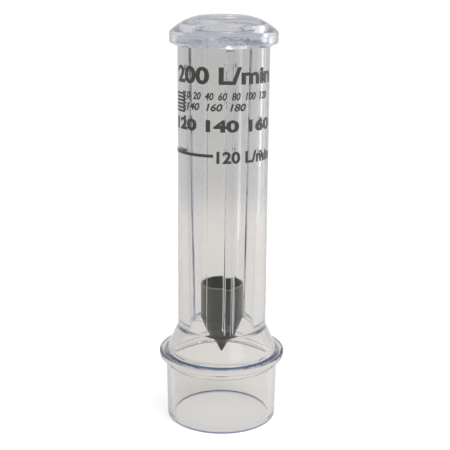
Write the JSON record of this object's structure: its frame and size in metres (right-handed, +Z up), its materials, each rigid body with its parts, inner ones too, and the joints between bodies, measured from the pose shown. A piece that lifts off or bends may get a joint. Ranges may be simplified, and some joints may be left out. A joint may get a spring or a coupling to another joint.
{
  "type": "airflow flowmeter",
  "caption": "Clear tapered tube with guide ribs, a dark cup float that rises with airflow, a domed cap with a round air outlet, a flange and a push-on round socket.",
  "frame": {"origin": "centre of the socket's mouth, on the surface that the part stands on", "axes": "+Z up the tube's axis, from the socket to the cap; -Y towards the front of the printed scale; +X to the right of it"},
  "size_m": [0.058, 0.058, 0.1845],
  "materials": {
    "clear_tube": "clear gloss",
    "clear_cap": "clear gloss",
    "float_plastic": "satin",
    "ink": "matte"
  },
  "bodies": {
    "tube_body": {"metering_tube": "clear_tube", "vented_cap": "clear_cap", "flow_marks": "ink", "number_fields": "ink"},
    "float_body": {"cup_float": "float_plastic"}
  },
  "joints": [
    {"name": "float_rise", "type": "slide", "parent": "tube_body", "child": "float_body", "axis": [0, 0, 1], "range_m": [0, 0.1177]}
  ]
}
